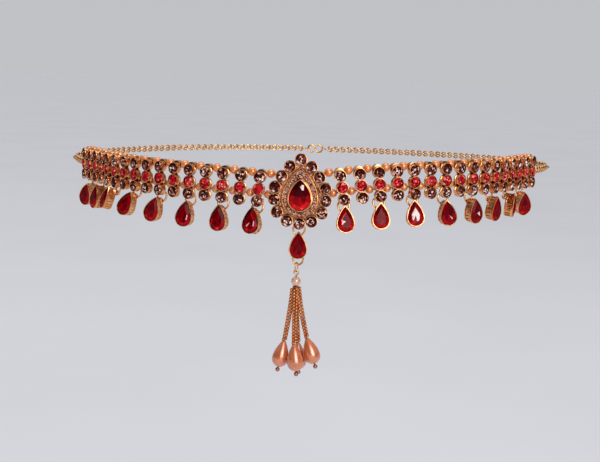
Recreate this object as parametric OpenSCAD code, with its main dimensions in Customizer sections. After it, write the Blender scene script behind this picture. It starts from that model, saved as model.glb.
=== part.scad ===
// Waist belt (oddiyanam): cast three-stone links strung with pearls on two threads,
// a pear-shaped medallion with a hanging drop and tassel, sixteen small drops,
// and a plain chain that closes the loop round the back.
// Millimetres. The origin is the middle of the waist opening, the medallion
// faces -Y, +X is to its right in the front view and +Z is up.

/* [Loop] */
// Width of the front curve of the loop, measured on the threads
loop_w = 238; // [210:1:280]
// Depth of the loop, front to back, measured on the threads
loop_d = 225.5; // [190:0.5:260]
// How much wider the chain hangs at each side than the front curve
side_bulge = 17; // [0:0.5:20]
// How far the left end of the band stands above the middle
rise_left = 3.4; // [0:0.1:8]
// How far the right end of the band stands above the middle
rise_right = 8; // [0:0.1:9]
// Length of band over which most of that rise happens
rise_run = 31.5; // [28:0.5:60]
// How much more the links lean than the band slopes
lean_gain = 1.5; // [0:0.1:1.6]

/* [Band links] */
// Number of cast links on each side of the medallion
link_count = 16; // [10:1:17]
// Distance between neighbouring links along the threads
link_pitch = 8.7; // [8.6:0.05:9.6]
// Distance of the first link from the middle of the medallion
first_link = 19.1; // [18.6:0.1:22]
// Diameter of the round stones
stone_d = 4.95; // [4.4:0.05:5]
// Wall of a round stone's cup
cup_wall = 0.25; // [0.2:0.05:0.35]
// Depth of a cup from its back to its rim
cup_depth = 2.6; // [2.4:0.1:3.2]
// Distance from the threads to the backs of the cups
cup_back = 1.2; // [0.95:0.05:1.3]

/* [Pearls and threads] */
// Diameter of the pearls on the upper thread
upper_pearl_d = 4.3; // [3.6:0.1:4.4]
// Diameter of the pearls on the lower thread
lower_pearl_d = 4.1; // [3.2:0.1:4.2]
// Thickness of the threads
thread_d = 0.7; // [0.5:0.05:0.8]
// Height of the upper thread above the middle of the top stone
upper_thread_rise = 1.95; // [1.6:0.05:2.3]
// Depth of the lower thread below the middle of the middle stone
lower_thread_fall = 2.35; // [2.1:0.05:2.8]

/* [Hanging drops] */
// Width of a drop's setting
drop_w = 8.5; // [7.6:0.1:9]
// Height of a drop's setting
drop_h = 12.8; // [11.6:0.1:13.4]
// Thickness of a drop's setting, back to bezel
setting_depth = 4.6; // [4.2:0.1:5.2]
// Wall of a bezel at its rim
bezel_wall = 0.4; // [0.4:0.05:0.6]
// Outside diameter of a drop's wire ring
drop_ring_d = 6.4; // [5.8:0.1:6.8]
// Thickness of the rings' wire
ring_wire = 0.95; // [0.7:0.05:1]
// Gap between a cup's lower edge and the tip of the drop under it
tip_gap = 0.75; // [0.6:0.05:1.2]

/* [Medallion] */
// Width of the ring of rim stones, centre to centre
rim_w = 24; // [23.4:0.1:26]
// Height of the ring of rim stones, centre to centre
rim_h = 29.7; // [29:0.1:32]
// Height of the medallion's middle above the middle of the band
pendant_up = 1.3; // [0:0.1:3]
// Distance from the threads to the medallion's back
pendant_back = 1.4; // [1.3:0.05:1.42]
// Width of the raised pear that holds the small stones
halo_w = 17; // [16.4:0.1:17.4]
// Height of the raised pear that holds the small stones
halo_h = 23.4; // [22.8:0.1:23.6]
// Height of the raised pear above the medallion's back
halo_rise = 2.3; // [2:0.1:2.8]
// Width of the bezel round the centre stone
centre_w = 11.3; // [10.6:0.1:11.6]
// Height of the bezel round the centre stone
centre_h = 15.3; // [14.6:0.1:15.6]
// Height of the centre bezel above the medallion's back
centre_rise = 4; // [3.6:0.1:4.6]

/* [Centre drop and tassel] */
// Width of the centre drop's setting
main_drop_w = 8.6; // [8:0.1:9.4]
// Height of the centre drop's setting
main_drop_h = 12.9; // [12:0.1:13.8]
// Outside diameter of the ring that the tassel hangs from
tassel_ring_d = 5.7; // [5.3:0.1:6.2]
// Height of the oval link
link_h = 5.2; // [4.8:0.1:6]
// Width of the oval link
link_w = 3.2; // [3.1:0.05:3.5]
// Diameter of the head pearl
head_pearl_d = 4.6; // [4:0.1:5]
// Length of the bead strands
strand_len = 24.6; // [20:0.1:32]
// Thickness of the bead strands
strand_d = 1.7; // [1.4:0.05:1.8]
// Sideways reach of the strands at their lower ends
strand_reach = 5.6; // [5.4:0.1:7]
// Length of the teardrop pearls
teardrop_len = 12.9; // [11:0.1:14]
// Thickness of the teardrop pearls
teardrop_d = 7.9; // [6.8:0.1:8]
// Diameter of the small beads under the teardrop pearls
tip_bead_d = 2.2; // [1.8:0.1:2.6]

/* [Chain and hook] */
// Outside diameter of the chain's rings
chain_ring_d = 4.2; // [4:0.1:5]
// Number of chain rings that show beside each end of the band
end_ring_count = 3; // [1:1:5]
// Thickness of the chain that goes round the back
chain_d = 4.2; // [2.8:0.1:4.4]
// Radius of each bend of the hook
hook_r = 2.4; // [2.2:0.1:3.4]
// Thickness of the hook's wire
hook_wire = 1.2; // [1:0.1:1.4]

/* [Hidden] */
$fn = 32;

// Clearances and small fixed sizes of the castings
seat_gap = 0.12;
cup_overlap = 0.1;
cup_groove = 0.35;
cup_floor = 0.6;
cup_ledge = 0.7;
girdle_drop = 0.3;
bore_gap = 0.3;
eyelet_gap = 0.4;
eyelet_wall = 0.6;
eyelet_w = 0.9;
eyelet_fall = 0.6;
link_gap = 0.12;
tassel_gap = 0.25;
chain_gap = 0.3;
solder = 0.3;

cup_r = stone_d / 2 + seat_gap + cup_wall;
stone_pitch = 2 * cup_r - cup_overlap;
cup_front = cup_back + cup_depth;
thread_bore = thread_d / 2 + bore_gap;
upper_up = stone_pitch + upper_thread_rise;
lower_up = -lower_thread_fall;
lug_r = 2.1;
lug_back = 1.3;
lug_lower_r = 1.45;
lug_lower_w = 2.6;

eyelet_bore = ring_wire / 2 + eyelet_gap;
eyelet_r = eyelet_bore + eyelet_wall;
drop_ring_r = (drop_ring_d - ring_wire) / 2;
tassel_ring_r = (tassel_ring_d - ring_wire) / 2;
setting_back = eyelet_bore + 0.15;
bezel_h = 1.3;
base_t = 0.7;
wall_inset = 0.5;
pear_gap = 0.18;
stone_inset = bezel_wall + pear_gap;
seat_ledge = 0.9;
pocket_depth = 2.7;
stone_drop = 0.45;
pocket_wall = 0.45;
tip_fall = cup_r - eyelet_fall + tip_gap;
eyelet_below_tip = 2 * drop_ring_r - tip_fall;
tail_eyelet_up = 1.2;

// The plan curve is an ellipse that widens past the ends of the band
bulge_from_angle = 60;
bulge_span_angle = 40;
plan_step = 1.5;
plan_steps = 120;

function unit(v) = v / norm(v);
function ease(u) = let(v = min(max(u, 0), 1)) v * v * (3 - 2 * v);
function plan(t) = [
    (loop_w / 2 + side_bulge * ease((t - bulge_from_angle) / bulge_span_angle)) * sin(t),
    -loop_d / 2 * cos(t)
];
arc_table = [
    for (
        i = 0, s = 0;
        i <= plan_steps;
        s = s + norm(plan((i + 1) * plan_step) - plan(i * plan_step)), i = i + 1
    )
    [s, i * plan_step]
];
half_loop = arc_table[plan_steps][0];

// Stations: side is 1 to the right and -1 to the left, s is the length from the middle
function link_s(i) = first_link + (i - 1) * link_pitch;
function bead_s(i) = link_s(i) - link_pitch / 2;
band_end = link_s(link_count);
function rise(side) = side > 0 ? rise_right : rise_left;
function height(side, s) =
    rise(side) * (1 - exp(-s / rise_run))
    + ((rise_left + rise_right) / 2 - rise(side)) * ease((s - band_end) / (half_loop - band_end));
function lean(side, s) = lean_gain * rise(side) / rise_run * exp(-s / rise_run) * 180 / PI;
function along(s) = let(t = lookup(s, arc_table)) unit(plan(t + 1) - plan(t - 1));
function heading(side, s) = atan2(side * along(s)[1], along(s)[0]);
function station(side, s, up = 0, out = 0) =
    let(
        p = plan(lookup(s, arc_table)),
        d = along(s),
        a = lean(side, s)
    )
    [side * p[0], p[1], height(side, s)]
    + out * [side * d[1], -d[0], 0]
    + up * [-sin(a) * side * d[0], -sin(a) * d[1], cos(a)];

// Places children with X to the right, Y up and Z out of the loop
module at_station(side, s, up = 0, out = 0)
    translate(station(side, s, up, out))
        rotate([0, 0, heading(side, s)])
            rotate([90, 0, 0])
                rotate([0, 0, side * lean(side, s)])
                    children();

// Places children on a thread, with X along it
module at_thread(side, s, up) {
    way = station(side, s + link_pitch / 2, up) - station(side, s - link_pitch / 2, up);
    translate(station(side, s, up))
        rotate([0, 0, heading(side, s)])
            rotate([90, 0, 0])
                rotate([0, 0, side * asin(way[2] / norm(way))])
                    children();
}

module at_middle(up = 0, out = 0)
    translate([0, -loop_d / 2 - out, up])
        rotate([90, 0, 0])
            children();

// Outline of a pear, counterclockwise from its tip: half a circle and two wide flank arcs
pear_flank = 9;
function flank_k(r, top) = (top * top - r * r) / (2 * (r - top * sin(pear_flank)));
function pear_outline(w, h, inset, flank_steps, round_steps) =
    let(
        r = w / 2 - inset,
        k = flank_k(w / 2, h - w / 2),
        big = r + k,
        mid = w / 2 - h / 2,
        cx = k * cos(pear_flank),
        cy = k * sin(pear_flank),
        tip = sqrt(big * big - cx * cx) - cy,
        open = atan2(tip + cy, cx)
    )
    concat(
        [
            for (j = [0:flank_steps])
            let(a = 180 - open + (open - pear_flank) * j / flank_steps)
            [cx + big * cos(a), mid - cy + big * sin(a)]
        ],
        [
            for (j = [1:round_steps])
            let(a = 180 - pear_flank + (180 + 2 * pear_flank) * j / round_steps)
            [r * cos(a), mid + r * sin(a)]
        ],
        [
            for (j = [1:flank_steps - 1])
            let(a = pear_flank + (open - pear_flank) * j / flank_steps)
            [-cx + big * cos(a), mid - cy + big * sin(a)]
        ]
    );

// Closed skin through rings of points that run counterclockwise about the way they advance
module loft(rings) {
    n = len(rings[0]);
    last = len(rings) - 1;
    polyhedron(
        points = [for (ring = rings) each ring],
        faces = concat(
            [[for (k = [0:n - 1]) k]],
            [for (i = [0:last - 1], k = [0:n - 1]) [i * n + k, (i + 1) * n + k, i * n + (k + 1) % n]],
            [
                for (i = [0:last - 1], k = [0:n - 1])
                [(i + 1) * n + k, (i + 1) * n + (k + 1) % n, i * n + (k + 1) % n]
            ],
            [[for (k = [n - 1:-1:0]) last * n + k]]
        ),
        convexity = 6
    );
}

// Tube along a path of points; ref is a direction that the path never runs along
function way(path, i) = unit(path[min(i + 1, len(path) - 1)] - path[max(i - 1, 0)]);
function tube_ring(path, radius, sides, ref, i) =
    let(d = way(path, i), a = unit(cross(ref, d)), b = cross(d, a))
    [for (k = [0:sides - 1]) path[i] + radius * (cos(k * 360 / sides) * a + sin(k * 360 / sides) * b)];
module tube(path, radii, sides, ref)
    loft([for (i = [0:len(path) - 1]) tube_ring(path, radii[i], sides, ref, i)]);

module torus(radius, wire)
    rotate_extrude()
        translate([radius, 0])
            circle(d = wire);

// Round stone with an eight-sided table, its girdle at z = 0
crown_h = 0.75;
pavilion_h = 1.5;
module round_stone(d)
    loft([
        for (row = [[0.08, -pavilion_h, 0], [0.5, 0, 0], [0.29, crown_h, 22.5]])
        [for (k = [0:7]) [d * row[0] * cos(k * 45 + row[2]), d * row[0] * sin(k * 45 + row[2]), row[1]]]
    ]);

// Pear stone with a flat table; the rows give inset as a share of the half width, and height
module pear_stone(w, h, inset, crown, pavilion)
    let(half = w / 2 - inset)
    loft([
        for (row = [[0.8, -pavilion], [0.42, -0.6 * pavilion], [0, 0], [0.4, crown]])
        [for (p = pear_outline(w, h, inset + row[0] * half, 4, 8)) [p[0], p[1], row[1]]]
    ]);

module pear_slab(w, h, inset, low, high)
    translate([0, 0, low])
        linear_extrude(high - low)
            polygon(pear_outline(w, h, inset, 6, 12));

// Cup of a round stone, its back at z = 0
module cup()
    rotate_extrude()
        polygon([
            [0, 0],
            [cup_r, 0],
            [cup_r, cup_depth * 0.3],
            [cup_r - cup_groove, cup_depth * 0.36],
            [cup_r - cup_groove, cup_depth * 0.64],
            [cup_r, cup_depth * 0.7],
            [cup_r, cup_depth],
            [cup_r - cup_wall, cup_depth],
            [cup_r - cup_wall, cup_depth - cup_ledge],
            [cup_r - cup_wall - cup_groove, cup_depth - cup_ledge],
            [cup_r - cup_wall - cup_groove, cup_floor],
            [0, cup_floor]
        ]);

module rod(length, r)
    rotate([0, 90, 0])
        cylinder(h = length, r = r, center = true);

// Cast link: three cups in a column, with lugs for the threads and an eyelet for a drop
bar_w = 1.6;
end_lug_x = cup_r + 0.9;
module link(with_eyelet, end_way) {
    difference() {
        union() {
            for (k = [-1:1])
                translate([0, k * stone_pitch, cup_back])
                    cup();
            translate([-bar_w / 2, -stone_pitch, cup_back - 0.2])
                cube([bar_w, 2 * stone_pitch, 0.2 + solder]);
            translate([0, upper_up - 0.4, -lug_back])
                cylinder(h = lug_back + cup_back + solder, r = lug_r);
            translate([0, lower_up, 0])
                rod(lug_lower_w, lug_lower_r);
            if (with_eyelet)
                translate([0, -stone_pitch - eyelet_fall, 0])
                    rod(eyelet_w, eyelet_r);
            if (end_way != 0)
                end_lug(end_way);
        }
        translate([0, upper_up, 0])
            rod(2 * lug_r + 2, thread_bore);
        translate([0, lower_up, 0])
            rod(lug_lower_w + 2, thread_bore);
        if (with_eyelet)
            translate([0, -stone_pitch - eyelet_fall, 0])
                rod(eyelet_w + 2, eyelet_bore);
        if (end_way != 0)
            translate([end_way * end_lug_x, 0, 0])
                rotate([90, 0, 0])
                    cylinder(h = eyelet_w + 2, r = eyelet_bore, center = true);
    }
}

// Lug on the last link, bored upright for the first ring of the chain
module end_lug(end_way) {
    translate([end_way * end_lug_x, 0, 0])
        rotate([90, 0, 0])
            cylinder(h = eyelet_w, r = eyelet_r, center = true);
    translate([end_way > 0 ? 0 : -end_lug_x, -eyelet_w / 2, -eyelet_w / 2])
        cube([end_lug_x, eyelet_w, eyelet_w / 2 + cup_back + solder]);
}

module links(side)
    color("goldenrod")
        for (i = [1:link_count])
            at_station(side, link_s(i))
                link(i % 2 == 1, i == link_count ? side : 0);

module band_stones(side, row, tint)
    color(tint)
        for (i = [1:link_count])
            at_station(side, link_s(i), row * stone_pitch, cup_front - girdle_drop)
                round_stone(stone_d);

module pearl(d)
    rotate([0, 90, 0])
        difference() {
            sphere(d = d);
            cylinder(h = d + 2, r = thread_bore, center = true);
        }

module band_pearls(side, up, d)
    color("sandybrown")
        for (i = [1:link_count])
            at_thread(side, bead_s(i), up)
                pearl(d);

// Threads run from one end of the band to the other, behind the medallion
pendant_lug_s = 9.6;
thread_tail = 2.8;
function half_thread(side, up) = concat(
    [station(side, pendant_lug_s, up)],
    [for (k = [1:2 * link_count]) station(side, first_link + (k - 2) * link_pitch / 2, up)],
    [station(side, band_end + thread_tail, up)]
);
function backwards(list) = [for (i = [len(list) - 1:-1:0]) list[i]];
module thread(up)
    color("darkorange")
        let(path = concat(backwards(half_thread(-1, up)), [station(1, 0, up)], half_thread(1, up)))
        tube(path, [for (p = path) thread_d / 2], 6, [0, 0, 1]);

// Setting of a drop, its back at z = 0, with eyelets behind it for the rings
module setting(w, h, with_tail) {
    top = h / 2 - eyelet_below_tip;
    tail = tail_eyelet_up - h / 2;
    difference() {
        union() {
            pear_slab(w, h, wall_inset / 2, 0, base_t);
            pear_slab(w, h, wall_inset, base_t / 2, setting_depth - bezel_h / 2);
            pear_slab(w, h, 0, setting_depth - bezel_h, setting_depth);
            translate([0, top, -setting_back])
                rod(eyelet_w, eyelet_r);
            if (with_tail)
                translate([0, tail, -setting_back])
                    rod(eyelet_w, eyelet_r);
        }
        pear_slab(w, h, bezel_wall, setting_depth - seat_ledge, setting_depth + 1);
        pear_slab(w, h, wall_inset + pocket_wall, setting_depth - pocket_depth, setting_depth);
        translate([0, top, -setting_back])
            rod(eyelet_w + 2, eyelet_bore);
        if (with_tail)
            translate([0, tail, -setting_back])
                rod(eyelet_w + 2, eyelet_bore);
    }
}

module drop_stone(w, h)
    translate([0, 0, setting_depth - stone_drop])
        pear_stone(w, h, stone_inset, 0.9, 2);

// Hanging drops: columns give turn and lean of the lower end away from the middle, and swing outwards
drop_rows_left = [
    [14, 2, 12],
    [0, 2, 5],
    [-10, 9, 6],
    [-10, 20, 5],
    [-13, 23, 13],
    [10, 30, 12],
    [-8, 15, 6],
    [-22, 22, 0]
];
drop_rows_right = [
    [0, 2, 12],
    [-7, 0, 12],
    [-17, 3, 13],
    [-15, 10, 3],
    [-4, 11, -3],
    [0, 6, -6],
    [14, 10, -6],
    [-30, 10, -6]
];
drop_count = ceil(link_count / 2);
function drop_row(side, j) =
    let(rows = side > 0 ? drop_rows_right : drop_rows_left)
    rows[(j - 1) % len(rows)];

// Frame of a drop's ring at the eyelet of its link, half turned and half leaned
module at_ring(side, j) {
    s = link_s(2 * j - 1);
    row = drop_row(side, j);
    translate(station(side, s, -stone_pitch - eyelet_fall))
        rotate([0, 0, heading(side, s) + side * row[0] / 2])
            rotate([90 - row[2], 0, 0])
                rotate([0, 0, side * row[1] / 2])
                    children();
}

// Frame of a drop's setting, hung from the lowest point of its ring
module at_drop(side, j) {
    row = drop_row(side, j);
    at_ring(side, j)
        translate([0, -2 * drop_ring_r, 0])
            rotate([0, side * row[0] / 2, side * row[1] / 2])
                translate([0, eyelet_below_tip - drop_h / 2, setting_back])
                    children();
}

module drop_ring()
    translate([0, -drop_ring_r, 0])
        torus(drop_ring_r, ring_wire);

module drop_rings(side)
    color("gold")
        for (j = [1:drop_count])
            at_ring(side, j)
                drop_ring();

module drop_setting(side, j)
    color("goldenrod")
        at_drop(side, j)
            setting(drop_w, drop_h, false);

module drop_stones(side)
    color("crimson")
        for (j = [1:drop_count])
            at_drop(side, j)
                drop_stone(drop_w, drop_h);

// Rim stones of the medallion as shares of half its width and half its height, top to bottom
rim_rows = [
    [0, 1],
    [0.42, 0.775],
    [0.73, 0.465],
    [0.98, 0.12],
    [1, -0.26],
    [0.875, -0.655],
    [0.48, -0.925],
    [0, -1]
];
function rim_point(x, y) = [x * rim_w / 2, pendant_up + y * rim_h / 2];
rim_right = [for (row = rim_rows) rim_point(row[0], row[1])];
rim_left = [for (i = [len(rim_rows) - 2:-1:1]) rim_point(-rim_rows[i][0], rim_rows[i][1])];
rim_points = concat(rim_right, rim_left);
plate_t = 0.5;
halo_up = pendant_up - 0.4;
centre_up = pendant_up - 1.45;
halo_lip = 0.45;
halo_groove = 0.7;
pendant_lug_w = 2.6;
main_eyelet_up = pendant_up - rim_h / 2 - eyelet_fall;

module pendant_lug(side, up)
    at_thread(side, pendant_lug_s, up)
        rod(pendant_lug_w, lug_lower_r);

// Post from a thread lug's axis forward to the plate
module pendant_post(side, up) {
    place = station(side, pendant_lug_s, up);
    lug_out = -loop_d / 2 - place[1];
    translate([place[0], place[2], lug_out])
        linear_extrude(pendant_back + plate_t - lug_out)
            square([pendant_lug_w * 0.8, lug_lower_r], center = true);
}

module pendant_frame() {
    color("goldenrod")
        difference() {
            union() {
                at_middle()
                    pendant_body();
                for (side = [-1, 1], up = [upper_up, lower_up])
                    pendant_lug(side, up);
            }
            for (side = [-1, 1], up = [upper_up, lower_up])
                at_thread(side, pendant_lug_s, up)
                    rod(pendant_lug_w + 3, thread_bore);
            at_middle(main_eyelet_up)
                rod(eyelet_w + 2, eyelet_bore);
        }
}

module pendant_body() {
    difference() {
        union() {
            for (p = rim_points)
                translate([p[0], p[1], pendant_back])
                    cup();
            translate([0, 0, pendant_back])
                linear_extrude(plate_t)
                    polygon(rim_points);
            translate([0, halo_up, 0])
                pear_slab(halo_w, halo_h, 0, pendant_back, pendant_back + halo_rise);
            translate([0, centre_up, 0])
                pear_slab(centre_w, centre_h, 0, pendant_back, pendant_back + centre_rise);
            translate([0, main_eyelet_up, 0])
                rod(eyelet_w, eyelet_r);
            translate([-eyelet_w / 2, main_eyelet_up, eyelet_bore])
                cube([eyelet_w, eyelet_fall + 1, pendant_back - eyelet_bore + solder]);
            for (side = [-1, 1], up = [upper_up, lower_up])
                pendant_post(side, up);
        }
        halo_channel();
        translate([0, centre_up, 0]) {
            pear_slab(centre_w, centre_h, bezel_wall, centre_front - seat_ledge, centre_front + 1);
            pear_slab(centre_w, centre_h, bezel_wall + pocket_wall, centre_front - 3.2, centre_front);
        }
    }
}

centre_front = pendant_back + centre_rise;
module halo_channel()
    translate([0, 0, pendant_back + halo_rise - halo_groove])
        linear_extrude(halo_groove + 1)
            difference() {
                translate([0, halo_up])
                    polygon(pear_outline(halo_w, halo_h, halo_lip, 6, 12));
                translate([0, centre_up])
                    polygon(pear_outline(centre_w, centre_h, -0.3, 6, 12));
            }

module pendant_stone()
    color("crimson")
        at_middle(centre_up, centre_front - stone_drop)
            pear_stone(centre_w, centre_h, stone_inset, 1.2, 2.4);

module pendant_rim_stones()
    color("rosybrown")
        for (p = rim_points)
            at_middle(p[1], pendant_back + cup_depth - girdle_drop)
                translate([p[0], 0, 0])
                    round_stone(stone_d);

// Centre drop and tassel, all in the plane of the drop's ring
main_drop_up = main_eyelet_up - tip_fall - main_drop_h / 2;
tail_up = main_drop_up - main_drop_h / 2 + tail_eyelet_up;
tassel_x = -0.6;
tassel_ring_up = tail_up - tassel_ring_r;
link_wire = 0.6;
eye_wire = 0.6;
eye_r = 1.1;
ring_low = tassel_ring_up - sqrt(pow(tassel_ring_r, 2) - pow(tassel_x, 2));
link_top = ring_low + (ring_wire + link_wire) / 2 + tassel_gap;
link_low = link_top - link_h + link_wire;
eye_up = link_low + (link_wire + eye_wire) / 2 + tassel_gap - eye_r;
pin_shoulder = 0.55;
head_up = eye_up - eye_r - eye_wire / 2 - pin_shoulder - head_pearl_d / 2;
knot_h = 1.2;
knot_top = head_up - head_pearl_d / 2 - seat_gap;
pin_end = knot_top - knot_h * 0.6;

module centre_drop_ring()
    color("gold")
        at_middle(main_eyelet_up)
            drop_ring();

module centre_drop_setting()
    color("goldenrod")
        at_middle(main_drop_up, setting_back)
            setting(main_drop_w, main_drop_h, true);

module centre_drop_stone()
    color("crimson")
        at_middle(main_drop_up, setting_back)
            drop_stone(main_drop_w, main_drop_h);

module tassel_ring()
    color("gold")
        at_middle(tassel_ring_up)
            torus(tassel_ring_r, ring_wire);

// Oval link, turned so that the ring's wire passes straight through it
link_turn = 66;
module tassel_link()
    color("gold")
        at_middle((link_top + link_low) / 2)
            translate([tassel_x, 0, 0])
                rotate([0, link_turn, 0])
                    oval_link();

oval_steps = 20;
module oval_link() {
    bend = (link_w - link_wire) / 2;
    reach = (link_h - link_w) / 2;
    closed_tube(
        [for (k = [0:oval_steps - 1]) oval_point(k * 360 / oval_steps, bend, reach)],
        link_wire / 2, 6
    );
}

// Point of an oval at angle a, two half circles joined by straight sides
function oval_point(a, bend, reach) =
    [bend * cos(a), bend * sin(a) + reach * min(max(sin(a) * 4, -1), 1), 0];

// Closed tube round a loop of points that lies flat
module closed_tube(path, radius, sides) {
    n = len(path);
    rings = [
        for (i = [0:n - 1])
        let(d = unit(path[(i + 1) % n] - path[(i + n - 1) % n]), a = unit(cross([0, 0, 1], d)))
        [
            for (k = [0:sides - 1])
            path[i] + radius * (cos(k * 360 / sides) * a + sin(k * 360 / sides) * [0, 0, 1])
        ]
    ];
    polyhedron(
        points = [for (ring = rings) each ring],
        faces = [
            for (i = [0:n - 1], k = [0:sides - 1], half = [0, 1])
            let(j = (i + 1) % n, m = (k + 1) % sides)
            half == 0
                ? [i * sides + k, j * sides + k, i * sides + m]
                : [j * sides + k, j * sides + m, i * sides + m]
        ],
        convexity = 6
    );
}

module tassel_pin()
    color("gold")
        translate([tassel_x, -loop_d / 2, 0]) {
            translate([0, 0, eye_up])
                rotate([90, 0, 0])
                    torus(eye_r, eye_wire);
            translate([0, 0, pin_end])
                cylinder(h = eye_up - eye_r - pin_end, d = eye_wire);
        }

module head_pearl()
    color("mistyrose")
        translate([tassel_x, -loop_d / 2, head_up])
            difference() {
                sphere(d = head_pearl_d);
                cylinder(h = head_pearl_d + 2, d = eye_wire + 2 * bore_gap, center = true);
            }

// Strands: columns give the angle round the knot, the sideways share of the reach,
// the share of the length, the outward share of a teardrop's thickness, and the lean
strand_rows = [
    [180, -0.83, 1.03, -0.1, -11],
    [90, 0.05, 1.04, 0.58, 5.5],
    [270, 0.34, 1.09, -0.5, 2],
    [0, 1.08, 0.95, 0, 18]
];
strand_ring_r = 1.4;
strand_steps = 7;
strand_top = knot_top - knot_h * 0.5;
strand_end_gap = 0.3;
hole_d = 1;
inner_thread_d = 0.5;
function strand_end(row) = [
    tassel_x + row[1] * strand_reach,
    knot_top - knot_h - row[2] * strand_len,
    row[3] * teardrop_d
];
function strand_point(row, u) =
    let(
        from = [tassel_x + strand_ring_r * cos(row[0]), strand_top, strand_ring_r * sin(row[0])],
        to = strand_end(row),
        v = pow(u, 1.2)
    )
    [from[0] + (to[0] - from[0]) * v, from[1] + (to[1] - from[1]) * u, from[2] + (to[2] - from[2]) * v];
function tail_way(row) = [sin(row[4]), -cos(row[4]), 0];
tail_len = teardrop_len + tip_bead_d + 2 * strand_end_gap;

module strand(row) {
    beads = [for (j = [0:strand_steps]) strand_point(row, j / strand_steps)];
    end = strand_end(row);
    tail = [for (j = [0.001, 1]) end + tail_way(row) * tail_len * j];
    radii = concat([for (p = beads) strand_d / 2], [for (p = tail) inner_thread_d / 2]);
    tube(concat(beads, tail), radii, 8, [0, 0, 1]);
}

module tassel_strands()
    color("chocolate")
        at_middle() {
            difference() {
                translate([tassel_x, knot_top, 0])
                    rotate([90, 0, 0])
                        cylinder(h = knot_h, r = strand_ring_r + strand_d / 2);
                translate([tassel_x, knot_top + 1, 0])
                    rotate([90, 0, 0])
                        cylinder(h = knot_top + 1 - pin_end + seat_gap, d = eye_wire + 2 * bore_gap);
            }
            for (row = strand_rows)
                strand(row);
        }

// Teardrop pearl hung from z = 0 down, with a hole along its length
teardrop_tip_r = 0.85;
function teardrop_r(z) =
    let(round_from = teardrop_len - teardrop_d / 2, big = teardrop_d / 2)
    z < round_from
        ? teardrop_tip_r + (big - teardrop_tip_r) * sin(90 * z / round_from)
        : sqrt(max(big * big - pow(z - round_from, 2), 0));
module teardrop()
    rotate_extrude()
        polygon(concat(
            [[hole_d / 2, 0]],
            [for (j = [0:11]) [teardrop_r(teardrop_len * 0.94 * j / 11), -teardrop_len * 0.94 * j / 11]],
            [[teardrop_r(teardrop_len * 0.98), -teardrop_len * 0.98]],
            [[hole_d / 2, -teardrop_len * 0.99]]
        ));

// Frame at the lower end of a strand, with Z back up along the teardrop's length
module at_strand_end(row)
    at_middle()
        translate(strand_end(row))
            rotate([0, 0, row[4]])
                rotate([-90, 0, 0])
                    children();

module teardrop_pearl(j)
    color("lightsalmon")
        at_strand_end(strand_rows[j - 1])
            translate([0, 0, -strand_end_gap])
                teardrop();

module tip_beads()
    color("peru")
        for (row = strand_rows)
            at_strand_end(row)
                translate([0, 0, -tail_len + tip_bead_d / 2])
                    difference() {
                        sphere(d = tip_bead_d);
                        cylinder(h = tip_bead_d + 2, d = hole_d - 0.2, center = true);
                    }

// Chain: rings beside the band, then the rest of the chain as one tube to the hook
chain_ring_r = (chain_ring_d - ring_wire) / 2;
ring_pitch = 2 * chain_ring_r - ring_wire - link_gap;
first_ring_s = band_end + end_lug_x + chain_ring_r;
last_ring_s = first_ring_s + (end_ring_count - 1) * ring_pitch;
chain_from = last_ring_s + chain_ring_d / 2 + chain_gap;
chain_to = half_loop - 2 * hook_r - hook_wire / 2 - chain_gap;
chain_step = 2.4 * chain_d;
chain_rings = ceil((chain_to - chain_from) / chain_step);

module end_rings(side)
    color("gold")
        for (i = [0:end_ring_count - 1])
            at_station(side, first_ring_s + i * ring_pitch)
                rotate([i % 2 * 90, 0, 0])
                    torus(chain_ring_r, ring_wire);

module back_chain(side)
    color("gold")
        let(
            reach = chain_to - chain_from,
            path = [for (k = [0:chain_rings]) station(side, chain_from + reach * k / chain_rings)]
        )
        tube(path, [for (p = path) chain_d / 2], 8, [0, 0, 1]);

// Plain hook, two opposite bends in one wire
hook_steps = 10;
module hook()
    color("gold")
        at_station(1, half_loop)
            let(
                near = [
                    for (k = [0:hook_steps])
                    let(a = 60 + 300 * k / hook_steps)
                    [hook_r * cos(a) - hook_r, hook_r * sin(a), 0]
                ],
                far = [
                    for (k = [1:hook_steps])
                    let(a = 180 - 300 * k / hook_steps)
                    [hook_r * cos(a) + hook_r, hook_r * sin(a), 0]
                ],
                path = concat(near, far)
            )
            tube(path, [for (p = path) hook_wire / 2], 8, [0, 0, 1]);

SIDES = [["left", -1], ["right", 1]];

pendant_frame();
pendant_stone();
pendant_rim_stones();
for (g = SIDES) {
    links(g[1]);
    band_stones(g[1], 1, "rosybrown");
    band_stones(g[1], 0, "red");
    band_stones(g[1], -1, "rosybrown");
    band_pearls(g[1], upper_up, upper_pearl_d);
    band_pearls(g[1], lower_up, lower_pearl_d);
    for (j = [1:drop_count])
        drop_setting(g[1], j);
    drop_stones(g[1]);
    drop_rings(g[1]);
    end_rings(g[1]);
    back_chain(g[1]);
}
thread(upper_up);  // upper_thread
thread(lower_up);  // lower_thread
centre_drop_ring();
centre_drop_setting();
centre_drop_stone();
tassel_ring();
tassel_link();
tassel_pin();
head_pearl();
tassel_strands();
for (j = [1:len(strand_rows)])
    teardrop_pearl(j);
tip_beads();
hook();
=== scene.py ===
# %% [markdown]
# # An oddiyanam, a jewelled belt for the waist
# The real belt is a row of cast cups with glass stones, strung with pearls on two threads.
# A pear-shaped medallion sits in the middle, small drops hang from every second link,
# and a tassel of seed beads hangs from the drop in the middle.
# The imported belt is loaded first, because every piece made below goes where it says.

# %% Load the belt
from collections import namedtuple
import math
import random

import bpy
from mathutils import Matrix, Vector


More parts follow.
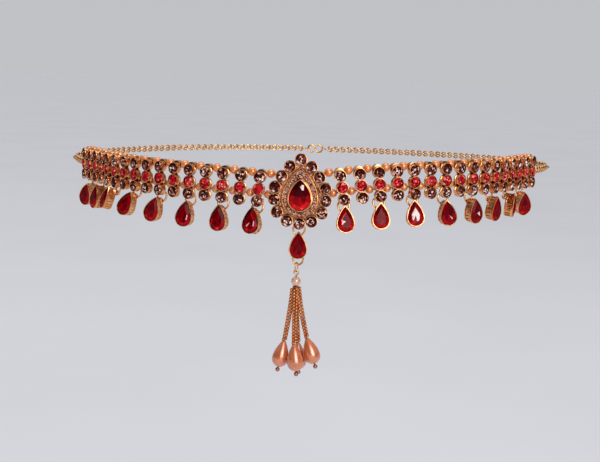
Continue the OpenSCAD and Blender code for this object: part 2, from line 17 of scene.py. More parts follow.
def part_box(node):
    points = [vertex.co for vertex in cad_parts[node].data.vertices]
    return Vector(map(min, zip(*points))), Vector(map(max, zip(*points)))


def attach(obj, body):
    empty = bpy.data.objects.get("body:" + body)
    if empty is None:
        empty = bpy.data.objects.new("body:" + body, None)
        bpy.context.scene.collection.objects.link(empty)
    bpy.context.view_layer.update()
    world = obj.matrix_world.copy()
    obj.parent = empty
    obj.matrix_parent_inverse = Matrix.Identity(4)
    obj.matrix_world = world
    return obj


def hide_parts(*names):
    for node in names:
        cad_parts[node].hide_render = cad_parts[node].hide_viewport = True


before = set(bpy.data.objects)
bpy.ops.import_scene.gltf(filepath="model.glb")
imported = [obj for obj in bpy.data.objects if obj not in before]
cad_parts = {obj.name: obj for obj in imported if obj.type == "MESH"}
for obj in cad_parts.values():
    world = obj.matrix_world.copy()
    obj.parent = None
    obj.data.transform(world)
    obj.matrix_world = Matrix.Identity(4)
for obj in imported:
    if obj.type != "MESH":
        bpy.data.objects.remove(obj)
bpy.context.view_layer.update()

print("belt loaded:", len(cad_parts), "nodes")

# %% [markdown]
# ## The camera
# The photograph was taken from the front with a short telephoto lens, slightly from above.
# The camera's place was found from the columns of stones, whose spacing along the band is
# even. The lens's axis falls a little right of the picture's middle, which a small shift gives.

# %% Camera
MM = 0.001
PHOTO_WIDTH_PX = 600
SENSOR_WIDTH = 36
FOCAL_LENGTH_PX = 1083.7
AXIS_RIGHT_OF_MIDDLE_PX = 6.9
CAMERA_DISTANCE = 0.615
CAMERA_HEIGHT = 0.0559
CAMERA_YAW, CAMERA_PITCH, CAMERA_ROLL = 0.033, 0.145, 0.035
NEAREST_SEEN = 0.01


def new_object(name, data):
    thing = bpy.data.objects.new(name, data)
    bpy.context.scene.collection.objects.link(thing)
    return thing


ahead = Vector((
    -math.sin(CAMERA_YAW) * math.cos(CAMERA_PITCH),
    math.cos(CAMERA_YAW) * math.cos(CAMERA_PITCH),
    -math.sin(CAMERA_PITCH),
))
level_right = Vector((math.cos(CAMERA_YAW), math.sin(CAMERA_YAW), 0))
level_up = level_right.cross(ahead)
camera_right = math.cos(CAMERA_ROLL) * level_right + math.sin(CAMERA_ROLL) * level_up
camera_up = math.cos(CAMERA_ROLL) * level_up - math.sin(CAMERA_ROLL) * level_right

camera_data = bpy.data.cameras.new("camera")
camera_data.sensor_width = SENSOR_WIDTH
camera_data.lens = FOCAL_LENGTH_PX * SENSOR_WIDTH / PHOTO_WIDTH_PX
camera_data.shift_x = -AXIS_RIGHT_OF_MIDDLE_PX / PHOTO_WIDTH_PX
camera_data.clip_start = NEAREST_SEEN
camera = new_object("camera", camera_data)
camera.matrix_world = (
    Matrix.Translation((
        math.sin(CAMERA_YAW) * CAMERA_DISTANCE,
        -math.cos(CAMERA_YAW) * CAMERA_DISTANCE,
        CAMERA_HEIGHT,
    ))
    @ Matrix((camera_right, camera_up, -ahead)).transposed().to_4x4()
)
bpy.context.scene.camera = camera
print("camera lens", round(camera_data.lens, 1), "mm")

# %% [markdown]
# ## Where the links are
# The threads run along an ellipse seen from above, a little fuller at the sides, which rises
# towards its ends. A station is a place on it: a side, a length along the thread from the
# middle, and how far up and out from the thread. These sizes are the belt's own, in
# millimetres and degrees.

# %% Sizes of the belt
LOOP_W, LOOP_D, SIDE_BULGE = 238, 225.5, 17
BULGE_FROM, BULGE_SPAN = 60, 40
RISE = {-1: 3.4, 1: 8}
RISE_RUN, LEAN_GAIN = 31.5, 1.5
LINK_COUNT, LINK_PITCH, FIRST_LINK = 16, 8.7, 19.1
STONE_D, CUP_WALL, CUP_DEPTH, CUP_BACK = 4.95, 0.25, 2.6, 1.2
SEAT_GAP, CUP_OVERLAP, GIRDLE_DROP = 0.12, 0.1, 0.3
CUP_R = STONE_D / 2 + SEAT_GAP + CUP_WALL
STONE_PITCH = 2 * CUP_R - CUP_OVERLAP
BAND_END = FIRST_LINK + (LINK_COUNT - 1) * LINK_PITCH
print("the last link is", round(BAND_END, 1), "mm along the thread")

# %% [markdown]
# ## The loop seen from above
# A length along an ellipse has no short formula. So half of the loop is walked in small steps
# from the middle of the front to the middle of the back, and the lengths are added up. The
# angle that belongs to a length is then read between two steps.

# %% Plan of the loop
PLAN_STEPS = 120
PLAN_STEP = 180 / PLAN_STEPS


def ease(u):
    u = min(max(u, 0), 1)
    return u * u * (3 - 2 * u)


def plan(degrees):
    half_width = LOOP_W / 2 + SIDE_BULGE * ease((degrees - BULGE_FROM) / BULGE_SPAN)
    angle = math.radians(degrees)
    return Vector((half_width * math.sin(angle), -LOOP_D / 2 * math.cos(angle), 0))


arc_lengths = [0]
for step in range(PLAN_STEPS):
    stretch = plan((step + 1) * PLAN_STEP) - plan(step * PLAN_STEP)
    arc_lengths.append(arc_lengths[-1] + stretch.length)
HALF_LOOP = arc_lengths[-1]


def plan_angle(s):
    for step in range(PLAN_STEPS):
        if arc_lengths[step + 1] >= s:
            share = (s - arc_lengths[step]) / (arc_lengths[step + 1] - arc_lengths[step])
            return (step + share) * PLAN_STEP
    return 180


print("half of the loop is", round(HALF_LOOP), "mm long")

# %% [markdown]
# ## Stations
# The band rises quickly beside the medallion and slowly further out, and leans with the rise.
# At the back, both sides come to the same height, where the chain closes. The way along the
# band is measured between two points a degree either side.

# %% Stations along the band


def height(side, s):
    mean_rise = (RISE[-1] + RISE[1]) / 2
    back = ease((s - BAND_END) / (HALF_LOOP - BAND_END))
    return RISE[side] * (1 - math.exp(-s / RISE_RUN)) + (mean_rise - RISE[side]) * back


def lean(side, s):
    return math.degrees(LEAN_GAIN * RISE[side] / RISE_RUN * math.exp(-s / RISE_RUN))


def along(s):
    angle = plan_angle(s)
    return (plan(angle + 1) - plan(angle - 1)).normalized()


def heading(side, s):
    return math.degrees(math.atan2(side * along(s).y, along(s).x))


def station(side, s, up=0, out=0):
    middle = plan(plan_angle(s))
    way = along(s)
    tilt = math.radians(lean(side, s))
    upright = Vector((-math.sin(tilt) * side * way.x, -math.sin(tilt) * way.y, math.cos(tilt)))
    outward = Vector((side * way.y, -way.x, 0))
    return Vector((side * middle.x, middle.y, height(side, s))) + out * outward + up * upright


def link_s(i):
    return FIRST_LINK + (i - 1) * LINK_PITCH


print("the right end rises by", round(height(1, BAND_END), 1), "mm")

# %% [markdown]
# ## Frames
# A frame is a place with its own axes: X along the band, Y up and Z out of the loop. A piece
# modelled flat on the ground, facing up, then faces out of the belt. The medallion and the
# middle drop hang level in front, so theirs is a plainer frame.

# %% Frames for pieces


def turn(axis, degrees):
    return Matrix.Rotation(math.radians(degrees), 4, axis)


def face_frame(side, s, up=0, out=0):
    return (
        Matrix.Translation(station(side, s, up, out))
        @ turn("Z", heading(side, s)) @ turn("X", 90) @ turn("Z", side * lean(side, s))
    )


def middle_frame(across=0, up=0, out=0):
    return Matrix.Translation((across, -LOOP_D / 2 - out, up)) @ turn("X", 90)


print("the front is at", middle_frame().translation.y, "mm")

# %% [markdown]
# ## Small helpers
# An operator works on all that is selected, so a piece is always selected alone first.
# Every piece is modelled in millimetres about its own middle, then copied to its places.
# A copy has its own mesh, and its place goes into that mesh, so its object stays at the origin.

# %% Helpers for pieces


def deselect_all():
    if bpy.context.mode != "OBJECT":
        bpy.ops.object.mode_set(mode="OBJECT")
    bpy.ops.object.select_all(action="DESELECT")


def only(piece):
    deselect_all()
    piece.select_set(True)
    bpy.context.view_layer.objects.active = piece


def join(name, pieces):
    deselect_all()
    for piece in pieces:
        piece.select_set(True)
    bpy.context.view_layer.objects.active = pieces[0]
    if len(pieces) > 1:
        bpy.ops.object.join()
    pieces[0].name = name
    pieces[0].data.name = name
    return pieces[0]


def copy_to(master, places, name):
    copies = []
    for place in places:
        copy = new_object(name, master.data.copy())
        copy.data.transform(Matrix.Scale(MM, 4) @ place)
        copies.append(copy)
    return join(name, copies)


def remove(*masters):
    for master in masters:
        bpy.data.objects.remove(master)


def dress(piece, material, slot, body, *nodes):
    piece.data.materials.clear()
    piece.data.materials.append(material)
    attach(piece, body)
    if nodes:
        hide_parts(*nodes)
    print(piece.name, len(piece.data.polygons), "faces")


# %% [markdown]
# ## What finishes are built from
# Each finish below uses the same few nodes: a noise, placed by the object's own coordinates so
# that it stays put when the belt moves, a ramp that turns a number into a colour, a range that
# turns it into a roughness, and a bump for the grain. Scales are patches to the metre.

# %% Material helpers
NOISE_DETAIL, BUMP_DEPTH = 3, 0.0001


def new_material(name):
    material = bpy.data.materials.new(name)
    material.use_nodes = True
    return material, material.node_tree.nodes, material.node_tree.links


def set_inputs(node, values):
    for socket, value in values.items():
        node.inputs[socket].default_value = value


def object_noise(nodes, links, scale):
    place = nodes.new("ShaderNodeTexCoord")
    noise = nodes.new("ShaderNodeTexNoise")
    set_inputs(noise, {"Scale": scale, "Detail": NOISE_DETAIL})
    links.new(place.outputs["Object"], noise.inputs["Vector"])
    return noise


def colour_ramp(nodes, links, value, stops):
    ramp = nodes.new("ShaderNodeValToRGB")
    for place, colour in stops[2:]:
        ramp.color_ramp.elements.new(place)
    for element, (place, colour) in zip(ramp.color_ramp.elements, stops):
        element.position = place
        element.color = (*colour, 1)
    links.new(value, ramp.inputs["Fac"])
    return ramp


def value_range(nodes, links, value, low, high):
    spread = nodes.new("ShaderNodeMapRange")
    set_inputs(spread, {"To Min": low, "To Max": high})
    links.new(value, spread.inputs["Value"])
    return spread


def add_bump(nodes, links, shader, scale, strength):
    grain = object_noise(nodes, links, scale)
    bump = nodes.new("ShaderNodeBump")
    set_inputs(bump, {"Strength": strength, "Distance": BUMP_DEPTH})
    links.new(grain.outputs["Fac"], bump.inputs["Height"])
    links.new(bump.outputs["Normal"], shader.inputs["Normal"])


# %% [markdown]
# ## Gold
# The castings are brass with a thin, warm gold plating. Plating takes the polish of what is
# under it, so the tone and the gloss wander slightly, and fine casting grain is left in the
# bump. Shade is painted into the gaps between the cups: an ambient occlusion node looks for
# metal close by and darkens the colour there. The wires and the chain are a paler, brighter
# gold.

# %% Gold materials
TONE_SCALE, WEAR_SCALE, CASTING_SCALE, CASTING_GRAIN = 260, 900, 2400, 0.12
TONE_FROM, TONE_TO = 0.35, 0.65
# Painted shade in the gaps: how far the occlusion looks, its rays, and the tones it darkens with.
PAINTED_SHADE_REACH, PAINTED_SHADE_RAYS = 0.0015, 4
PAINTED_SHADE_TONE, UNSHADED_TONE = (0.3, 0.12, 0.06), (1, 1, 1)
PAINTED_SHADE_FROM, PAINTED_SHADE_TO = 0.2, 0.75


def gold(name, pale, deep, smoothest, roughest):
    material, nodes, links = new_material(name)
    shader = nodes["Principled BSDF"]
    shader.inputs["Metallic"].default_value = 1
    tone = object_noise(nodes, links, TONE_SCALE)
    ramp = colour_ramp(nodes, links, tone.outputs["Fac"], [(TONE_FROM, deep), (TONE_TO, pale)])
    # Painted shade: the ambient occlusion darkens the colour where metal is close by.
    painted_shade_ao = nodes.new("ShaderNodeAmbientOcclusion")
    painted_shade_ao.samples = PAINTED_SHADE_RAYS
    painted_shade_ao.inputs["Distance"].default_value = PAINTED_SHADE_REACH
    shade = colour_ramp(
        nodes, links, painted_shade_ao.outputs["AO"], [(PAINTED_SHADE_FROM, PAINTED_SHADE_TONE), (PAINTED_SHADE_TO, UNSHADED_TONE)])
    shade_painted_colour = nodes.new("ShaderNodeMix")
    shade_painted_colour.data_type = "RGBA"
    shade_painted_colour.blend_type = "MULTIPLY"
    shade_painted_colour.inputs["Factor"].default_value = 1
    links.new(ramp.outputs["Color"], shade_painted_colour.inputs["A"])
    links.new(shade.outputs["Color"], shade_painted_colour.inputs["B"])
    links.new(shade_painted_colour.outputs["Result"], shader.inputs["Base Color"])
    wear = object_noise(nodes, links, WEAR_SCALE)
    gloss = value_range(nodes, links, wear.outputs["Fac"], smoothest, roughest)
    links.new(gloss.outputs["Result"], shader.inputs["Roughness"])
    add_bump(nodes, links, shader, CASTING_SCALE, CASTING_GRAIN)
    return material


cast_gold = gold("cast_gold", (0.94, 0.48, 0.2), (0.58, 0.2, 0.07), 0.06, 0.22)
wire_gold = gold("wire_gold", (0.95, 0.6, 0.27), (0.7, 0.34, 0.12), 0.08, 0.24)
print("gold for", [m.name for m in (cast_gold, wire_gold)])

# %% [markdown]
# ## Foiled glass
# The stones are cut glass with a mirror foil behind. What one sees is the foil broken up by
# the facets: most are dark, some glow and a few flash pale. These reflections are painted:
# each facet gets a number, its painted spark, and the material turns that into a tone. A
# slight haze keeps a facet from being one flat tone. The body has no gloss of its own, so that
# the dark tones stay deep, and a thin clear coat on top mirrors the lamps.

# %% Glass materials
HAZE_SCALE, HAZE = 700, 0.12
BODY_ROUGHNESS, GLASS_COAT, GLASS_COAT_ROUGHNESS, GLASS_IOR = 0.3, 0.16, 0.02, 1.5


def foiled_glass(name, stops):
    material, nodes, links = new_material(name)
    shader = nodes["Principled BSDF"]
    # The painted reflection of the foil, one number a facet.
    painted_spark = nodes.new("ShaderNodeAttribute")
    painted_spark.attribute_name = "painted_spark"
    haze = object_noise(nodes, links, HAZE_SCALE)
    drift = value_range(nodes, links, haze.outputs["Fac"], -HAZE, HAZE)
    total = nodes.new("ShaderNodeMath")
    total.operation = "ADD"
    links.new(painted_spark.outputs["Fac"], total.inputs[0])
    links.new(drift.outputs["Result"], total.inputs[1])
    ramp = colour_ramp(nodes, links, total.outputs["Value"], stops)
    links.new(ramp.outputs["Color"], shader.inputs["Base Color"])
    set_inputs(shader, {
        "Specular IOR Level": 0, "Roughness": BODY_ROUGHNESS, "Coat Weight": GLASS_COAT,
        "Coat Roughness": GLASS_COAT_ROUGHNESS, "Coat IOR": GLASS_IOR,
    })
    return material


rose_glass = foiled_glass("rose_glass", [
    (0.0, (0.025, 0.002, 0.001)), (0.35, (0.075, 0.01, 0.006)), (0.62, (0.4, 0.1, 0.065)),
    (0.84, (0.9, 0.44, 0.31)), (1.0, (1.0, 0.86, 0.76)),
])
red_glass = foiled_glass("red_glass", [
    (0.0, (0.06, 0.0, 0.002)), (0.4, (0.22, 0.001, 0.004)), (0.75, (0.6, 0.008, 0.016)),
    (0.92, (0.95, 0.06, 0.05)), (1.0, (1.0, 0.62, 0.55)),
])
ruby_glass = foiled_glass("ruby_glass", [
    (0.0, (0.03, 0.0, 0.001)), (0.35, (0.13, 0.0, 0.003)), (0.7, (0.38, 0.002, 0.006)),
    (0.9, (0.8, 0.01, 0.012)), (1.0, (1.0, 0.8, 0.76)),
])
print("glass for", [m.name for m in (rose_glass, red_glass, ruby_glass)])

# %% [markdown]
# ## Pearls and beads
# The pearls are glass beads with an orange pearl lacquer: a soft, cloudy body under a clear
# skin, whose high index of refraction gives the pearly shine. The seed beads are metallic and
# have no skin, and the silk of the threads is dull.

# %% Pearl and bead materials
CLOUD_SCALE, CLOUD_FROM, CLOUD_TO = 420, 0.35, 0.68
LACQUER_SCALE, LACQUER_GRAIN, PEARL_IOR = 1500, 0.04, 2


def pearl_skin(name, light, deep, metal, rough, skin=1, skin_rough=0.04):
    material, nodes, links = new_material(name)
    shader = nodes["Principled BSDF"]
    cloud = object_noise(nodes, links, CLOUD_SCALE)
    ramp = colour_ramp(
        nodes, links, cloud.outputs["Fac"], [(CLOUD_FROM, deep), (CLOUD_TO, light)])
    links.new(ramp.outputs["Color"], shader.inputs["Base Color"])
    set_inputs(shader, {
        "Metallic": metal, "Roughness": rough, "Coat Weight": skin,
        "Coat Roughness": skin_rough, "Coat IOR": PEARL_IOR,
    })
    add_bump(nodes, links, shader, LACQUER_SCALE, LACQUER_GRAIN)
    return material


orange_pearl = pearl_skin(
    "orange_pearl", (0.92, 0.29, 0.03), (0.74, 0.18, 0.015), metal=0.15, rough=0.35)
cream_pearl = pearl_skin(
    "cream_pearl", (0.85, 0.53, 0.34), (0.72, 0.36, 0.22), metal=0.2, rough=0.3)
salmon_pearl = pearl_skin(
    "salmon_pearl", (0.76, 0.22, 0.07), (0.58, 0.13, 0.035), metal=0.3, rough=0.35,
    skin_rough=0.08)
gold_bead = pearl_skin(
    "gold_bead", (0.95, 0.4, 0.12), (0.7, 0.2, 0.05), metal=0.85, rough=0.2, skin=0)
copper_bead = pearl_skin(
    "copper_bead", (0.42, 0.12, 0.06), (0.26, 0.06, 0.03), metal=0.7, rough=0.22)
silk = pearl_skin("silk", (0.7, 0.32, 0.07), (0.5, 0.2, 0.04), metal=0, rough=0.7, skin=0)
# Dark silk, also used for the painted shade between the seed beads.
silk_and_painted_shade = pearl_skin(
    "silk_and_painted_shade", (0.3, 0.08, 0.02), (0.18, 0.04, 0.01), metal=0, rough=0.7, skin=0)
print("pearls of", [m.name for m in (orange_pearl, cream_pearl, salmon_pearl)])

# %% [markdown]
# ## Smooth copies of the castings
# The castings, rings and pearls have their real form already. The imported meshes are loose
# triangles, so each is copied, its doubles are merged and its smooth faces are shaded so.
# Cast metal has no knife edges, so the triangles of a casting's flats are first joined into
# whole faces, and then a narrow bevel rounds the edges, which catch the light as the real ones
# do. The bevel hardens its normals, so the flats beside it stay flat.

# %% Smooth copies
MERGE_DISTANCE = 0.000002
SMOOTH_ANGLE = 40
FLAT_ANGLE = 0.5
EDGE_SEGMENTS = 2


def round_edges(piece, edge):
    rounding = piece.modifiers.new("rounding", "BEVEL")
    rounding.width = edge * MM
    rounding.segments = EDGE_SEGMENTS
    rounding.limit_method = "ANGLE"
    rounding.angle_limit = math.radians(SMOOTH_ANGLE)
    rounding.harden_normals = True
    bpy.ops.object.shade_smooth()
    bpy.ops.object.modifier_apply(modifier="rounding")


def smooth_copy(name, node, material, slot, body, edge=0):
    piece = new_object(name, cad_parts[node].data.copy())
    only(piece)
    bpy.ops.object.mode_set(mode="EDIT")
    bpy.ops.mesh.select_all(action="SELECT")
    bpy.ops.mesh.remove_doubles(threshold=MERGE_DISTANCE)
    if edge:
        bpy.ops.mesh.dissolve_limited(angle_limit=math.radians(FLAT_ANGLE))
    bpy.ops.object.mode_set(mode="OBJECT")
    if edge:
        round_edges(piece, edge)
    else:
        bpy.ops.object.shade_smooth_by_angle(angle=math.radians(SMOOTH_ANGLE))
    dress(piece, material, slot, body, node)


# %% [markdown]
# ## The band's castings, rings and pearls
# The medallion has the smallest steps, so its edges are rounded half as much.

# %% Castings of the band
SIDES = {"left": -1, "right": 1}
DROP_COUNT = LINK_COUNT // 2
EDGE = 0.1
smooth_copy("medallion", "pendant_frame", cast_gold, "castings", "belt", EDGE / 2)
for word in SIDES:
    smooth_copy(f"cups_{word}", f"links_{word}", cast_gold, "castings", "belt", EDGE)
    smooth_copy(f"jump_rings_{word}", f"drop_rings_{word}", wire_gold, "wire", "belt")
    smooth_copy(f"chain_end_{word}", f"end_rings_{word}", wire_gold, "chain", "belt")
    smooth_copy(f"pearls_above_{word}", f"upper_pearls_{word}", orange_pearl, "pearls", "belt")
    smooth_copy(f"pearls_below_{word}", f"lower_pearls_{word}", orange_pearl, "pearls", "belt")
    for j in range(1, DROP_COUNT + 1):
        smooth_copy(
            f"bezel_{word}_{j}", f"drop_setting_{word}_{j}", cast_gold, "settings", "belt", EDGE)

# %% [markdown]
# ## The middle drop and what hangs from it
# The drop, its ring and the tassel swing together, so they ride the body that does. The hook
# and the two threads stay with the belt.

# %% Castings of the middle drop
smooth_copy("bezel_middle", "centre_drop_setting", cast_gold, "settings", "drop", EDGE)
for piece, node in (
        ("ring_above", "centre_drop_ring"), ("ring_below", "tassel_ring"),
        ("oval_link", "tassel_link"), ("eye_pin", "tassel_pin")):
    smooth_copy(piece, node, wire_gold, "wire", "drop")
smooth_copy("cap_pearl", "head_pearl", cream_pearl, "head_pearl", "drop")
smooth_copy("end_beads", "tip_beads", copper_bead, "tip_beads", "drop")
for j in range(1, 5):
    smooth_copy(f"long_pearl_{j}", f"teardrop_pearl_{j}", salmon_pearl, "teardrop_pearls", "drop")
smooth_copy("back_hook", "hook", wire_gold, "chain", "belt")
for row in ("upper", "lower"):
    smooth_copy(f"silk_{row}", f"{row}_thread", silk, "thread", "belt")

# %% [markdown]
# ## A round stone
# A stone is cut by grinding flats on a disc, and a bisect does just that: a plane takes off
# what is beyond it and closes the cut. A disc with sixteen sides gets sixteen flats beside
# its girdle, eight main ones, eight small ones round the table, and eight below.

# %% Cut a round stone
CROWN_H, PAVILION_H = 0.75, 1.5
TABLE_SHARE, STAR_SHARE = 0.56, 0.8
MAIN_FLATS = 8
EIGHTH = 360 / MAIN_FLATS
CUT_SNAP = 0.001


def cut(point, normal):
    bpy.ops.mesh.select_all(action="SELECT")
    bpy.ops.mesh.bisect(
        plane_co=point, plane_no=normal, use_fill=True, clear_outer=True, threshold=CUT_SNAP)


def ring_point(radius, z, eighths):
    angle = math.radians(EIGHTH * eighths)
    return Vector((radius * math.cos(angle), radius * math.sin(angle), z))


def cut_through(a, b, c):
    normal = (b - a).cross(c - a)
    if normal.dot(a) < 0:
        normal.negate()
    cut(a, normal.normalized())


def make_round_stone(diameter):
    girdle = diameter / 2
    bpy.ops.mesh.primitive_cylinder_add(
        vertices=2 * MAIN_FLATS, radius=girdle, depth=CROWN_H + PAVILION_H,
        location=(0, 0, (CROWN_H - PAVILION_H) / 2), rotation=(0, 0, 0))
    stone = bpy.context.object
    bpy.ops.object.transform_apply()
    table = girdle * TABLE_SHARE
    star_r = girdle * STAR_SHARE
    star_x = STAR_SHARE * math.cos(math.radians(EIGHTH / 2))
    star_z = CROWN_H * (1 - star_x) / (1 - TABLE_SHARE)
    bpy.ops.object.mode_set(mode="EDIT")
    for k in range(MAIN_FLATS):
        before, star = ring_point(star_r, star_z, k - 0.5), ring_point(star_r, star_z, k + 0.5)
        edge, between = ring_point(girdle, 0, k), ring_point(girdle, 0, k + 0.5)
        cut_through(edge, between, star)
        cut_through(between, ring_point(girdle, 0, k + 1), star)
        cut_through(edge, before, star)
        cut_through(ring_point(table, CROWN_H, k), ring_point(table, CROWN_H, k + 1), star)
        below = Vector((between.x, between.y, -girdle * girdle / PAVILION_H))
        cut(between, below.normalized())
    bpy.ops.object.mode_set(mode="OBJECT")
    return stone


# %% [markdown]
# ## What each facet shows
# Seen through the table, the foil forms a star. So the table is inset by a border and poked
# into wedges that stay level, and each wedge is a facet of its own. Each copy of a stone
# gets its own painted sparks, one number a face, before it goes to its place.

# %% Wedges and sparks
LEVEL, SAME_HEIGHT = 0.999, 0.01
ROUND_BORDER = 0.25


def poke_table(stone, top, border):
    only(stone)
    for face in stone.data.polygons:
        face.select = face.normal.z > LEVEL and face.center.z > top - SAME_HEIGHT
    bpy.ops.object.mode_set(mode="EDIT")
    bpy.ops.mesh.select_mode(type="FACE")
    bpy.ops.mesh.inset(thickness=border)
    bpy.ops.mesh.poke()
    bpy.ops.object.mode_set(mode="OBJECT")


def set_sparks(mesh, draw, number):
    # Each face gets its painted reflection as a number.
    sparks = mesh.attributes.new("painted_spark", "FLOAT", "FACE")
    for face in mesh.polygons:
        sparks.data[face.index].value = draw(face, number)


def place_stones(name, master, places, draw):
    copies = []
    for number, place in enumerate(places, 1):
        stone = new_object(name, master.data.copy())
        set_sparks(stone.data, draw, number)
        stone.data.transform(Matrix.Scale(MM, 4) @ place)
        copies.append(stone)
    return join(name, copies)


round_stone = make_round_stone(STONE_D)
poke_table(round_stone, CROWN_H, ROUND_BORDER)
print("a round stone has", len(round_stone.data.polygons), "facets")

# %% [markdown]
# ## Painted sparks drawn by chance
# The painted sparks are drawn from a few steps with a fixed seed, so that every run gives the
# same belt. The rose stones have mostly dark steps and one near white. Light is painted on
# them: they are brighter at the lower left, where the foil behind would face the light from
# the upper right.

# %% Draw the sparks
luck = random.Random(7)
ROSE_STEPS = (0.0, 0.05, 0.12, 0.2, 0.3, 0.45, 0.62, 0.97)
TINY_STEPS = (0.0, 0.2, 0.4, 0.6, 0.72, 0.84, 0.98)
RED_STEPS = (0.15, 0.3, 0.45, 0.6, 0.7, 0.75, 0.8, 0.95)
PAINTED_LIGHT_FALL, PAINTED_LIGHT_RIGHT, PAINTED_LIGHT_UP = 0.11, 0.5, 0.85


def rose_spark(face, number):
    # Painted light: facets towards the lower left get brighter sparks.
    painted_light_shift = -(PAINTED_LIGHT_RIGHT * face.center.x + PAINTED_LIGHT_UP * face.center.y)
    return luck.choice(ROSE_STEPS) + PAINTED_LIGHT_FALL * painted_light_shift


def tiny_spark(face, number):
    return luck.choice(TINY_STEPS)


def red_spark(face, number):
    return luck.choice(RED_STEPS)


def any_turn():
    return turn("Z", luck.uniform(0, EIGHTH))


print("rose sparks:", ROSE_STEPS)

# %% [markdown]
# ## Stones of the band
# Each link has three cups, with rose glass above and below and red glass between. A stone
# lies in its cup turned as it fell, so no two neighbours show the same star.

# %% Stones of the band
ROW_UP = {"top": STONE_PITCH, "middle": 0, "bottom": -STONE_PITCH}
GIRDLE_OUT = CUP_BACK + CUP_DEPTH - GIRDLE_DROP
for word, side in SIDES.items():
    for row, up in ROW_UP.items():
        red = row == "middle"
        stones = place_stones(
            f"{row}_glass_{word}", round_stone,
            [
                face_frame(side, link_s(i), up, GIRDLE_OUT) @ any_turn()
                for i in range(1, LINK_COUNT + 1)
            ],
            red_spark if red else rose_spark)
        dress(
            stones, red_glass if red else rose_glass, "red_stones" if red else "rose_stones",
            "belt", f"{row}_stones_{word}")

# %% [markdown]
# ## Stones on the medallion's rim
# Fourteen round stones stand round the rim. Their places are given as shares of the half
# width and half height, from the top down the right side, and the left side mirrors them.

# %% Rim stones
RIM_W, RIM_H, PENDANT_UP, PENDANT_BACK = 24, 29.7, 1.3, 1.4
RIM_ROWS = [
    (0, 1), (0.42, 0.775), (0.73, 0.465), (0.98, 0.12),
    (1, -0.26), (0.875, -0.655), (0.48, -0.925), (0, -1),
]
rim_shares = RIM_ROWS + [(-x, y) for x, y in RIM_ROWS[1:-1]]
rim_out = PENDANT_BACK + CUP_DEPTH - GIRDLE_DROP
rim = place_stones(
    "rim_glass", round_stone,
    [
        middle_frame(x * RIM_W / 2, PENDANT_UP + y * RIM_H / 2, rim_out) @ any_turn()
        for x, y in rim_shares
    ],
    rose_spark)
dress(rim, rose_glass, "rose_stones", "belt", "pendant_rim_stones")

# %% [markdown]
# ## Pear outlines
# A pear stone's outline is half a circle and two wide arcs that meet in the tip. The same
# outline, drawn further in, gives its seat, its bezel and the ring of tiny stones. The points
# run from the tip down the left flank, round the bottom and up the right flank.

# %% Pear outline
PEAR_FLANK = math.radians(9)


def pear_outline(width, tall, inset, flank_steps, round_steps):
    half = width / 2
    radius = half - inset
    top = tall - half
    k = (top * top - half ** 2) / (2 * (half - top * math.sin(PEAR_FLANK)))
    big = radius + k
    middle = half - tall / 2
    cx, cy = k * math.cos(PEAR_FLANK), k * math.sin(PEAR_FLANK)
    tip = math.sqrt(big * big - cx * cx) - cy
    wide = math.atan2(tip + cy, cx)
    points = []
    for j in range(flank_steps + 1):
        a = math.pi - wide + (wide - PEAR_FLANK) * j / flank_steps
        points.append(Vector((cx + big * math.cos(a), middle - cy + big * math.sin(a), 0)))
    for j in range(1, round_steps + 1):
        a = math.pi - PEAR_FLANK + (math.pi + 2 * PEAR_FLANK) * j / round_steps
        points.append(Vector((radius * math.cos(a), middle + radius * math.sin(a), 0)))
    for j in range(1, flank_steps):
        a = PEAR_FLANK + (wide - PEAR_FLANK) * j / flank_steps
        points.append(Vector((-cx + big * math.cos(a), middle - cy + big * math.sin(a), 0)))
    return points


# %% [markdown]
# ## A pear stone
# The rough is a short cylinder whose sides are moved to the pear outline. Twelve main flats
# slope from the girdle to the table, with steeper small ones a hair lower between them, and
# twelve more close the back. How far a flat runs in is a share of the half width. A cylinder's
# faces come in the same order each run, which an extruded disc's don't, and the sparks are
# drawn in that order.

# %% Cut a pear stone
BEZEL_WALL, PEAR_GAP = 0.4, 0.18
SEAT_INSET = BEZEL_WALL + PEAR_GAP
PEAR_FLATS, STONE_STEPS = 12, (6, 16)
MAIN_RUN, SMALL_RUN, BACK_RUN, SMALL_DROP = 0.4, 0.28, 0.85, 0.02


def reach(outline, way):
    return max(point.dot(way) for point in outline)


def make_pear_stone(width, tall, crown, pavilion):
    outline = pear_outline(width, tall, SEAT_INSET, *STONE_STEPS)
    count = len(outline)
    bpy.ops.mesh.primitive_cylinder_add(vertices=count, radius=1, depth=2)
    stone = bpy.context.object
    for vertex in stone.data.vertices:
        k = round(math.atan2(-vertex.co.x, vertex.co.y) / math.tau * count) % count
        vertex.co = outline[k] + Vector((0, 0, crown if vertex.co.z > 0 else -pavilion))
    bpy.ops.object.mode_set(mode="EDIT")
    half = width / 2 - SEAT_INSET
    for k in range(2 * PEAR_FLATS):
        angle = math.radians(90 + 360 * k / (2 * PEAR_FLATS))
        way = Vector((math.cos(angle), math.sin(angle), 0))
        edge = way * reach(outline, way)
        main = k % 2 == 0
        slope = crown / (half * (MAIN_RUN if main else SMALL_RUN))
        start = edge if main else edge - Vector((0, 0, SMALL_DROP))
        cut(start, Vector((way.x * slope, way.y * slope, 1)).normalized())
        if main:
            below = Vector((way.x * pavilion, way.y * pavilion, -half * BACK_RUN))
            cut(edge, below.normalized())
    bpy.ops.object.mode_set(mode="OBJECT")
    return stone


# %% [markdown]
# ## Painted flashes on the pear stones
# The drops nearest the medallion and the big stone show clear flashes in the photograph, so
# those facets are named by their place on the stone, in millimetres from its middle, with
# their spark. A key is a place and the number of the drop there. All other facets are drawn by
# chance: the sloping ones brighter than the level wedges, and the lower ones than the upper.

